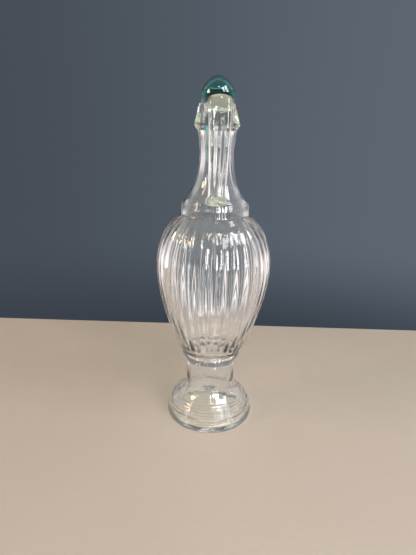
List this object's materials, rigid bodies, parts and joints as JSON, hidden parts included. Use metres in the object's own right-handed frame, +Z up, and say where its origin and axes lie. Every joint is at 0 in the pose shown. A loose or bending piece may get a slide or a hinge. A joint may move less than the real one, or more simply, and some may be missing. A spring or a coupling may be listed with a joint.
{
  "type": "stoppered glass decanter",
  "caption": "Footed clear-glass decanter jar with an upright-ribbed bowl, slim neck, pouring lip, strap handle and a green glass stopper that lifts out.",
  "frame": {"origin": "centre of the ring that the foot stands on, at the level of the table", "axes": "+Z up along the axis of the bowl and neck; -Y towards the handle; +Y towards the pouring lip"},
  "size_m": [0.109, 0.109, 0.33],
  "materials": {
    "clear_glass": "fire polished",
    "green_glass": "fire polished",
    "clear_seal": "translucent, ribbed"
  },
  "bodies": {
    "decanter": {"foot": "clear_glass", "stem": "clear_glass", "knop_ring": "clear_glass", "bowl": "clear_glass", "shoulder_collar": "clear_glass", "neck": "clear_glass", "pouring_mouth": "clear_glass", "handle": "clear_glass", "handle_pad": "clear_glass"},
    "stopper": {"stopper_head": "green_glass", "stopper_shank": "green_glass", "stopper_seal": "clear_seal"}
  },
  "joints": [
    {"name": "stopper_lift", "type": "slide", "parent": "decanter", "child": "stopper", "axis": [0, 0, 1], "range_m": [0, 0.07]}
  ]
}
